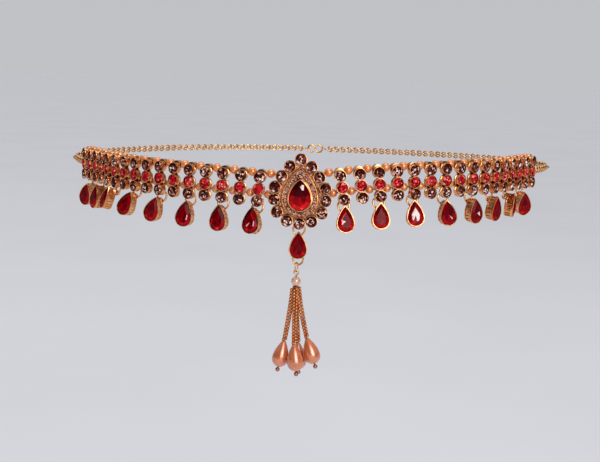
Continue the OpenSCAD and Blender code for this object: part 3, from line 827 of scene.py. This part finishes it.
# %% Painted flashes and ruby sparks
# Painted highlights: the listed facets get a fixed bright spark.
RIGHT_EDGE = [(0.99, 1.32, 0.8), (1.97, -1.54, 1)]
LEFT_EDGE = [(-0.99, 1.32, 0.9), (-1.97, -1.54, 0.9)]
WHOLE_TABLE = [(x, y, 1) for x, y in (
    (-0.58, 0.39), (0.58, 0.39), (-1.16, -1.34), (1.16, -1.34),
    (-1.01, -2.33), (1.01, -2.33), (0.58, -2.76),
)]
PAINTED_FLASHES = {
    ("left", 1): RIGHT_EDGE + [(-1.01, -2.33, 0.93)],
    ("left", 3): RIGHT_EDGE,
    ("right", 1): LEFT_EDGE + [(-1.16, -1.34, 0.98)],
    ("right", 3): WHOLE_TABLE,
    ("right", 4): [(1.01, -2.33, 0.95)],
    ("right", 5): [(1.16, -1.34, 0.97)],
    ("medallion", 1): [(1.35, 4.1, 1), (0.75, 3.4, 1)],
}
FLASH_NEAR, FLASH_LEVEL = 0.6, 0.8
WEDGE_LEVEL, WEDGE_DIM, FLANK_LIFT, RUBY_CHANCE = 0.99, 0.1, 0.2, 0.18


def ruby_sparks(place, middle=0.4, painted_light_fall=0.04, most=0.95):
    def ruby_spark(face, number):
        for x, y, painted_spark in PAINTED_FLASHES.get((place, number), []):
            near = (face.center.xy - Vector((x, y))).length < FLASH_NEAR
            if near and face.normal.z > FLASH_LEVEL:
                return painted_spark
        # Painted reflections: sloping facets and lower facets are made brighter.
        flank = 0 if face.normal.z > WEDGE_LEVEL else FLANK_LIFT
        chance = luck.uniform(-RUBY_CHANCE, RUBY_CHANCE)
        return min(middle - WEDGE_DIM + flank - painted_light_fall * face.center.y + chance, most)
    return ruby_spark


print("flashes set on", len(PAINTED_FLASHES), "stones")

# %% [markdown]
# ## Where the drops hang
# A drop hangs by a ring from the eyelet of its link. In the photograph each is turned, leans
# and swings in its own way, which three angles give: its turn about the upright, its lean
# along the band and its swing out from it. Half of the turn and the lean is in the ring, and
# the other half is between the ring and the drop.

# %% Places of the drops
DROP_W, DROP_H, SETTING_DEPTH, STONE_DROP = 8.5, 12.8, 4.6, 0.45
DROP_RING_D, RING_WIRE, EYELET_GAP, TIP_GAP, EYELET_FALL = 6.4, 0.95, 0.4, 0.75, 0.6
EYELET_WALL = 0.15
DROP_RING_R = (DROP_RING_D - RING_WIRE) / 2
SETTING_BACK = RING_WIRE / 2 + EYELET_GAP + EYELET_WALL
TIP_BELOW_EYELET = CUP_R - EYELET_FALL + TIP_GAP
EYELET_BELOW_TIP = 2 * DROP_RING_R - TIP_BELOW_EYELET
TURN_LEAN_SWING = {
    -1: [
        (14, 2, 12), (0, 2, 5), (-10, 9, 6), (-10, 20, 5),
        (-13, 23, 13), (10, 30, 12), (-8, 15, 6), (-22, 22, 0),
    ],
    1: [
        (0, 2, 12), (-7, 0, 12), (-17, 3, 13), (-15, 10, 3),
        (-4, 11, -3), (0, 6, -6), (14, 10, -6), (-30, 10, -6),
    ],
}


def drop_frame(side, j):
    s = link_s(2 * j - 1)
    twist, tip, swing = TURN_LEAN_SWING[side][j - 1]
    half_tip, half_twist = turn("Z", side * tip / 2), turn("Y", side * twist / 2)
    return (
        Matrix.Translation(station(side, s, -STONE_PITCH - EYELET_FALL))
        @ turn("Z", heading(side, s) + side * twist / 2) @ turn("X", 90 - swing) @ half_tip
        @ Matrix.Translation((0, -2 * DROP_RING_R, 0)) @ half_tip @ half_twist
        @ Matrix.Translation((0, EYELET_BELOW_TIP - DROP_H / 2, SETTING_BACK))
    )


print("tips are", round(TIP_BELOW_EYELET, 2), "mm below the eyelets")

# %% [markdown]
# ## Stones of the drops
# All sixteen small drops have the same stone, cut once and copied.

# %% Stones of the drops
DROP_CROWN, DROP_PAVILION, DROP_BORDER = 0.9, 2, 0.45
girdle_out = Matrix.Translation((0, 0, SETTING_DEPTH - STONE_DROP))
drop_stone = make_pear_stone(DROP_W, DROP_H, DROP_CROWN, DROP_PAVILION)
poke_table(drop_stone, DROP_CROWN, DROP_BORDER)
for word, side in SIDES.items():
    places = [drop_frame(side, j) @ girdle_out for j in range(1, DROP_COUNT + 1)]
    dress(
        place_stones(f"drop_glass_{word}", drop_stone, places, ruby_sparks(word)),
        ruby_glass, "drop_stones", "belt", f"drop_stones_{word}")

# %% [markdown]
# ## The middle drop's stone
# The middle drop is a hair bigger and hangs straight down from the medallion's eyelet.

# %% Stone of the middle drop
MAIN_DROP_W, MAIN_DROP_H = 8.6, 12.9
MAIN_EYELET_UP = PENDANT_UP - RIM_H / 2 - EYELET_FALL
MAIN_DROP_UP = MAIN_EYELET_UP - TIP_BELOW_EYELET - MAIN_DROP_H / 2
main_drop_frame = middle_frame(0, MAIN_DROP_UP, SETTING_BACK)
main_stone = make_pear_stone(MAIN_DROP_W, MAIN_DROP_H, DROP_CROWN, DROP_PAVILION)
poke_table(main_stone, DROP_CROWN, DROP_BORDER)
dress(
    place_stones(
        "middle_drop_glass", main_stone, [main_drop_frame @ girdle_out], ruby_sparks("main drop")),
    ruby_glass, "drop_stones", "drop", "centre_drop_stone")

# %% [markdown]
# ## The medallion's big stone
# The big stone is cut like the drops', only larger. In the photograph it has small flashes
# near its tip and more facets than wedges alone would give, so two bisects that take nothing
# off split the faces along a level and an upright line.

# %% Stone of the medallion
CENTRE_W, CENTRE_H, CENTRE_RISE, CENTRE_LOWER = 11.3, 15.3, 4, 1.45
CENTRE_CROWN, CENTRE_PAVILION, CENTRE_BORDER = 1.2, 2.4, 0.5
SPLIT_UP, SPLIT_RIGHT = 2.4, 1.83
big_stone = make_pear_stone(CENTRE_W, CENTRE_H, CENTRE_CROWN, CENTRE_PAVILION)
poke_table(big_stone, CENTRE_CROWN, CENTRE_BORDER)
only(big_stone)
bpy.ops.object.mode_set(mode="EDIT")
for point, normal in (((0, SPLIT_UP, 0), (0, 1, 0)), ((SPLIT_RIGHT, 0, 0), (1, 0, 0))):
    bpy.ops.mesh.select_all(action="SELECT")
    bpy.ops.mesh.bisect(plane_co=point, plane_no=normal)
bpy.ops.object.mode_set(mode="OBJECT")
big_frame = middle_frame(0, PENDANT_UP - CENTRE_LOWER, PENDANT_BACK + CENTRE_RISE - STONE_DROP)
# The big stone's painted light falls off more steeply towards its top.
big_sparks = ruby_sparks("medallion", middle=0.3, painted_light_fall=0.1, most=0.88)
dress(
    place_stones("medallion_glass", big_stone, [big_frame], big_sparks),
    ruby_glass, "centre_stone", "belt", "pendant_stone")
remove(drop_stone, main_stone, big_stone)

# %% [markdown]
# ## A field of tiny stones
# One row of tiny stones follows the channel of the raised pear, and a few more fill the
# space over the big stone's tip. A row is spaced evenly by walking along its outline.

# %% Places for tiny stones
HALO_W, HALO_H, HALO_LOWER, HALO_RISE, HALO_GROOVE = 17, 23.4, 0.4, 2.3, 0.7
HALO_UP = PENDANT_UP - HALO_LOWER
HALO_STEPS = (12, 24)
CHANNEL_FLOOR = PENDANT_BACK + HALO_RISE - HALO_GROOVE
TINY_D, TINY_PITCH, TINY_ROW, ROW_OVERLAP = 1.9, 2.05, 1.45, 0.1
TIP_SPACE_UP = 5.6


def spaced(outline, pitch):
    ends = outline[1:] + outline[:1]
    lengths = [(end - start).length for start, end in zip(outline, ends)]
    count = max(1, round(sum(lengths) / pitch))
    places, walked, wanted = [], 0, 0
    for start, end, length in zip(outline, ends, lengths):
        while len(places) < count and walked + length > wanted:
            places.append(start.lerp(end, (wanted - walked) / length))
            wanted += sum(lengths) / count
        walked += length
    return places


def channel_row(inset, pitch):
    return spaced(pear_outline(HALO_W, HALO_H, inset, *HALO_STEPS), pitch)


field = channel_row(TINY_ROW, TINY_PITCH)
inner_row = channel_row(TINY_ROW + TINY_PITCH - ROW_OVERLAP, TINY_PITCH)
field += [place for place in inner_row if place.y > TIP_SPACE_UP]
print(len(field), "tiny stones in the channel")

# %% [markdown]
# ## Stones in the corners of the rim
# More tiny stones sit in the corners between the rim's cups, each in a little cup on the
# medallion's plate. A corner is found from the middle between two cups, a step inwards.

# %% Places in the corners
PLATE_T, CORNER_STEP, CORNER_OUT, CORNER_SHARE = 0.5, 2.5, 1.1, 0.8
PLATE_FRONT = PENDANT_BACK + PLATE_T
corner_places = []
for (x1, y1), (x2, y2) in zip(rim_shares, rim_shares[1:] + rim_shares[:1]):
    across, up = (x1 + x2) / 2 * RIM_W / 2, (y1 + y2) / 2 * RIM_H / 2
    inward = Vector((-(y2 - y1) * RIM_H, (x2 - x1) * RIM_W)).normalized()
    if inward.dot(Vector((across, up))) > 0:
        inward.negate()
    corner_places.append(Vector((across, PENDANT_UP + up, 0)) + CORNER_STEP * inward.to_3d())
print(len(corner_places), "corners between the cups")

# %% [markdown]
# ## Setting the tiny stones
# They are small copies of the round stone. At their size only the sparks can be told apart.

# %% Tiny stones
TINY_SCALE, TINY_OUT = TINY_D / STONE_D, 0.55
tiny_places = [
    middle_frame(place.x, HALO_UP + place.y, CHANNEL_FLOOR + TINY_OUT)
    @ any_turn() @ Matrix.Scale(TINY_SCALE, 4)
    for place in field
]
tiny_places += [
    middle_frame(place.x, place.y, PLATE_FRONT + CORNER_OUT)
    @ Matrix.Scale(CORNER_SHARE * TINY_SCALE, 4)
    for place in corner_places
]
dress(
    place_stones("tiny_glass", round_stone, tiny_places, tiny_spark),
    rose_glass, "rose_stones", "belt")

# %% [markdown]
# ## Gold grains and little cups
# Small gold grains between the tiny stones hold them, as in a real pavé, a pair to each gap.
# A finer row of grains runs along the top of the channel's outer wall, like a beaded edge.

# %% Gold grains and little cups
GRAIN_R, GRAIN_ASIDE, GRAIN_OUT, NEIGHBOUR = 0.3, 0.62, 0.5, 1.5
WALL_MIDDLE, WALL_GRAIN_PITCH = 0.3, 0.8
LITTLE_CUP_R, LITTLE_CUP_H, LITTLE_CUP_OUT = 0.92, 1.3, 0.55
bpy.ops.mesh.primitive_uv_sphere_add(segments=8, ring_count=5, radius=GRAIN_R)
grain = bpy.context.object
grain_places = []
for a, b in zip(field, field[1:] + field[:1]):
    if (a - b).length < NEIGHBOUR * TINY_PITCH:
        between = (a + b) / 2
        aside = Vector((b.y - a.y, a.x - b.x, 0)).normalized() * GRAIN_ASIDE
        grain_places += [between + aside, between - aside]
grain_frames = [middle_frame(p.x, HALO_UP + p.y, CHANNEL_FLOOR + GRAIN_OUT) for p in grain_places]
grain_frames += [
    middle_frame(p.x, HALO_UP + p.y, PENDANT_BACK + HALO_RISE)
    for p in channel_row(WALL_MIDDLE, WALL_GRAIN_PITCH)
]
grains = copy_to(grain, grain_frames, "grains")
bpy.ops.mesh.primitive_cylinder_add(vertices=14, radius=LITTLE_CUP_R, depth=LITTLE_CUP_H)
little_cup = bpy.context.object
little_cups = copy_to(
    little_cup,
    [middle_frame(p.x, p.y, PLATE_FRONT + LITTLE_CUP_OUT) for p in corner_places], "little_cups")
dress(join("medallion_grains", [grains, little_cups]), cast_gold, "castings", "belt")
remove(grain, little_cup, round_stone)

# %% [markdown]
# ## Ribs in the walls of the drops
# The side wall of each drop's setting is a gallery of upright ribs between its base and its
# bezel, which catch the light one by one. The middle drop has no ribs beside its tip, because
# they would touch the medallion when it swings out.

# %% Ribs
BASE_T, BEZEL_H, WALL_INSET = 0.7, 1.3, 0.5
RIB_R, RIB_SINK, RIB_PITCH, RIB_STEPS = 0.36, 0.1, 1.75, (10, 20)
TOP_RIB = 3.6
RIB_H = SETTING_DEPTH - BEZEL_H - BASE_T
bpy.ops.mesh.primitive_cylinder_add(
    vertices=8, radius=RIB_R, depth=RIB_H + RIB_SINK,
    location=(0, 0, BASE_T + RIB_H / 2), rotation=(0, 0, 0))
rib = bpy.context.object
bpy.ops.object.transform_apply()
rib_spots = [
    Matrix.Translation(spot)
    for spot in spaced(pear_outline(DROP_W, DROP_H, WALL_INSET, *RIB_STEPS), RIB_PITCH)
]
for word, side in SIDES.items():
    places = [drop_frame(side, j) @ spot for j in range(1, DROP_COUNT + 1) for spot in rib_spots]
    dress(copy_to(rib, places, f"ribs_{word}"), cast_gold, "settings", "belt")
places = [main_drop_frame @ spot for spot in rib_spots if spot.translation.y < TOP_RIB]
dress(copy_to(rib, places, "ribs_middle"), cast_gold, "settings", "drop")
remove(rib)

# %% [markdown]
# ## The chain round the back
# Small round rings, each turned a quarter against the last, run from the rings that show
# beside the band to the hook.

# %% Chain
CHAIN_RING_D, END_RING_COUNT, LINK_GAP, CHAIN_GAP = 4.2, 3, 0.12, 0.3
END_LUG, HOOK_R, HOOK_WIRE = 0.9, 2.4, 1.2
chain_ring_r = (CHAIN_RING_D - RING_WIRE) / 2
ring_pitch = 2 * chain_ring_r - RING_WIRE - LINK_GAP
chain_start = BAND_END + CUP_R + END_LUG + chain_ring_r + END_RING_COUNT * ring_pitch
chain_end = HALF_LOOP - 2 * HOOK_R - HOOK_WIRE / 2 - CHAIN_GAP - CHAIN_RING_D / 2
ring_count = math.ceil((chain_end - chain_start) / ring_pitch)
bpy.ops.mesh.primitive_torus_add(
    major_radius=chain_ring_r, minor_radius=RING_WIRE / 2, major_segments=14, minor_segments=6)
chain_ring = bpy.context.object
for word, side in SIDES.items():
    places = [
        face_frame(side, chain_start + (chain_end - chain_start) * k / ring_count)
        @ turn("X", 90 * ((k + END_RING_COUNT) % 2))
        for k in range(ring_count + 1)
    ]
    chain = copy_to(chain_ring, places, f"chain_{word}")
    only(chain)
    bpy.ops.object.shade_smooth()
    dress(chain, wire_gold, "chain", "belt", f"back_chain_{word}")
remove(chain_ring)

# %% [markdown]
# ## The tassel
# Under the head pearl hang four legs, each ending in a teardrop pearl with a small bead under
# it. A leg has the angle at which it leaves the knot, where its end is across and forwards,
# its share of the full length, and the tilt of its pearl. The legs leave the knot close
# together and spread more the lower they are, which the spread power gives.

# %% Legs of the tassel
Leg = namedtuple("Leg", "angle across length forward tilt")
LEGS = [
    Leg(180, -0.83, 1.03, -0.1, -11),
    Leg(90, 0.05, 1.04, 0.58, 5.5),
    Leg(270, 0.34, 1.09, -0.5, 2),
    Leg(0, 1.08, 0.95, 0, 18),
]
TASSEL_X, STRAND_LEN, STRAND_REACH, STRAND_RING_R, KNOT_H = -0.6, 24.6, 5.6, 1.4, 1.2
TEARDROP_LEN, TEARDROP_D, TIP_BEAD_D, STRAND_END_GAP = 12.9, 7.9, 2.2, 0.3
SPREAD_POWER = 1.35
knot_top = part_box("tassel_strands")[1].z / MM


def leg_end(leg):
    return Vector((
        TASSEL_X + leg.across * STRAND_REACH, knot_top - KNOT_H - leg.length * STRAND_LEN,
        leg.forward * TEARDROP_D))


def leg_point(leg, u):
    angle = math.radians(leg.angle)
    start = Vector((
        TASSEL_X + STRAND_RING_R * math.cos(angle), knot_top - KNOT_H / 2,
        STRAND_RING_R * math.sin(angle)))
    end = leg_end(leg)
    v = u ** SPREAD_POWER
    return Vector((
        start.x + (end.x - start.x) * v, start.y + (end.y - start.y) * u,
        start.z + (end.z - start.z) * v))


print("the knot's top is at", round(knot_top, 1), "mm")

# %% [markdown]
# ## Strings of seed beads
# Each leg is a pair of strings of small round beads that wind round each other. The beads of
# one string sit beside the gaps of the other, so the second string starts half a bead earlier.

# %% Places of the seed beads
BEAD_D, BEAD_LENGTH, BEAD_PITCH = 1.45, 1.3, 1.5
TWIST_TURNS, STRING_ASIDE = 0.15, 0.43
FIRST_BEAD = {0: 0.75, 180: 0.25}
LOOK_BACK, LOOK_AHEAD = 0.01, 0.02


def bead_places(leg, phase):
    count = round((leg_point(leg, 1) - leg_point(leg, 0)).length / BEAD_PITCH)
    places = []
    for k in range(count):
        u = (k + FIRST_BEAD[phase]) / count
        ahead_point = leg_point(leg, min(u + LOOK_AHEAD, 1))
        way = (ahead_point - leg_point(leg, u - LOOK_BACK)).normalized()
        aside = way.cross(Vector((0, 0, 1))).normalized()
        angle = math.radians(phase + 360 * TWIST_TURNS * (u - 0.5))
        round_way = math.cos(angle) * aside + math.sin(angle) * way.cross(aside)
        places.append(
            middle_frame()
            @ Matrix.Translation(leg_point(leg, u) + STRING_ASIDE * BEAD_D * round_way)
            @ way.to_track_quat("Z", "Y").to_matrix().to_4x4() @ turn("Z", luck.uniform(0, 60)))
    return places


bead_spots = [spot for leg in LEGS for phase in FIRST_BEAD for spot in bead_places(leg, phase)]
print(len(bead_spots), "seed beads")

# %% [markdown]
# ## Seed beads
# A bead is a ball pressed a little shorter than it is wide. There are hundreds, so it has only
# a few dozen faces, which smooth shading hides.

# %% Seed beads
bpy.ops.mesh.primitive_uv_sphere_add(segments=8, ring_count=6, radius=BEAD_D / 2)
bead = bpy.context.object
bead.scale.z = BEAD_LENGTH / BEAD_D
bpy.ops.object.transform_apply()
bpy.ops.object.shade_smooth()
beads = copy_to(bead, bead_spots, "seed_beads")
dress(beads, gold_bead, "bead_strands", "drop", "tassel_strands")
remove(bead)

# %% [markdown]
# ## Silk and painted shade in the tassel
# A fine silk runs on from each leg through its teardrop and tip bead, and the legs come
# together in a small knot. A thicker dark core between the beads of every string is the
# thread with painted shade in the gaps.
# All of these are one cord of unit size, stretched to the radius and length that each needs.

# %% Silk and painted shade in the tassel
TAIL_R, KNOT_R, PAINTED_SHADE_CORE_R = 0.25, 1.5, 0.5


def stretched(radius, length):
    return Matrix.Diagonal((radius, radius, length, 1))


bpy.ops.mesh.primitive_cylinder_add(vertices=8, radius=1, depth=1)
cord = bpy.context.object
tail_length = TEARDROP_LEN + TIP_BEAD_D + 2 * STRAND_END_GAP
silk_places = [
    middle_frame() @ Matrix.Translation(leg_end(leg)) @ turn("Z", leg.tilt) @ turn("X", 90)
    @ Matrix.Translation((0, 0, tail_length / 2)) @ stretched(TAIL_R, tail_length)
    for leg in LEGS
]
silk_places.append(
    middle_frame(TASSEL_X, knot_top - KNOT_H / 2) @ turn("X", 90) @ stretched(KNOT_R, KNOT_H))
# The cores are the thread and painted shade between the beads.
silk_places += [spot @ stretched(PAINTED_SHADE_CORE_R, BEAD_PITCH) for spot in bead_spots]
dress(copy_to(cord, silk_places, "tassel_silk_and_painted_shade"), silk_and_painted_shade, "bead_strands", "drop")
remove(cord)

# %% [markdown]
# ## The floor
# A plain pale floor lies well below the belt and reaches far behind it, so nothing but the
# floor and the even backdrop is seen.

# %% Floor
FLOOR_SIZE, FLOOR_Z = 80, -0.3
FLOOR_SCALE, FLOOR_ROUGHNESS = 3, 0.9
FLOOR_TONES = [(0.3, (0.77, 0.77, 0.81)), (0.7, (0.8, 0.8, 0.84))]
bpy.ops.mesh.primitive_plane_add(size=FLOOR_SIZE, location=(0, 0, FLOOR_Z))
floor = bpy.context.object
floor.name = "floor"
floor_material, floor_nodes, floor_links = new_material("pale_floor")
floor_tone = object_noise(floor_nodes, floor_links, FLOOR_SCALE)
floor_ramp = colour_ramp(floor_nodes, floor_links, floor_tone.outputs["Fac"], FLOOR_TONES)
floor_shader = floor_nodes["Principled BSDF"]
floor_links.new(floor_ramp.outputs["Color"], floor_shader.inputs["Base Color"])
floor_shader.inputs["Roughness"].default_value = FLOOR_ROUGHNESS
floor.data.materials.append(floor_material)
print("floor at", FLOOR_Z, "m")

# %% [markdown]
# ## The lamps
# A big square lamp stands in front, up on the right, like a window. Its beam is narrowed, as a
# grid does it, so that no bright patch shows on the floor. It gives the gold and the pearls
# their highlights. A broad sun straight above fills the shadows softly.

# %% Lamps
WINDOW_PLACE, WINDOW_AIM = Vector((0.78, -2.15, 0.8)), Vector((0, -0.1, 0))
WINDOW_SIZE, WINDOW_POWER, WINDOW_BEAM = 1.9, 7.4, 60
OVERHEAD_STRENGTH, OVERHEAD_WIDTH = 1, 50


def add_lamp(name, kind, energy):
    lamp = new_object(name, bpy.data.lights.new(name, kind))
    lamp.data.energy = energy
    return lamp


window = add_lamp("window", "AREA", WINDOW_POWER)
window.data.size = WINDOW_SIZE
window.data.spread = math.radians(WINDOW_BEAM)
window.location = WINDOW_PLACE
window.rotation_euler = (WINDOW_AIM - WINDOW_PLACE).to_track_quat("-Z", "Y").to_euler()
overhead = add_lamp("overhead", "SUN", OVERHEAD_STRENGTH)
overhead.data.angle = math.radians(OVERHEAD_WIDTH)
print("lamps:", window.name, overhead.name)

# %% [markdown]
# ## The sky
# The sky is bright above and behind the belt and dim in front of it, which gives the gold and
# the facets their light and dark sides. The camera itself sees one even tone instead, as a
# plain backdrop beyond the floor.

# %% Sky
SKY_BRIGHT_WAY, SKY_DARK_FROM = (0.1, 0.55, 0.83), -0.2
SKY_DIM, SKY_BRIGHT, BACKDROP = 0.02, 0.6, 0.56
SKY_COLOUR = (0.95, 0.96, 1, 1)
scene = bpy.context.scene
scene.view_settings.view_transform = "Standard"
scene.world = bpy.data.worlds.new("studio")
scene.world.use_nodes = True
sky, sky_links = scene.world.node_tree.nodes, scene.world.node_tree.links
direction = sky.new("ShaderNodeTexCoord")
toward = sky.new("ShaderNodeVectorMath")
toward.operation = "DOT_PRODUCT"
toward.inputs[1].default_value = SKY_BRIGHT_WAY
sky_links.new(direction.outputs["Generated"], toward.inputs[0])
glow = value_range(sky, sky_links, toward.outputs["Value"], SKY_DIM, SKY_BRIGHT)
glow.inputs["From Min"].default_value = SKY_DARK_FROM
seen = sky.new("ShaderNodeLightPath")
strength = sky.new("ShaderNodeMix")
sky_links.new(seen.outputs["Is Camera Ray"], strength.inputs["Factor"])
sky_links.new(glow.outputs["Result"], strength.inputs["A"])
strength.inputs["B"].default_value = BACKDROP
background = sky["Background"]
background.inputs["Color"].default_value = SKY_COLOUR
sky_links.new(strength.outputs["Result"], background.inputs["Strength"])
print("sky from", SKY_DIM, "to", SKY_BRIGHT)
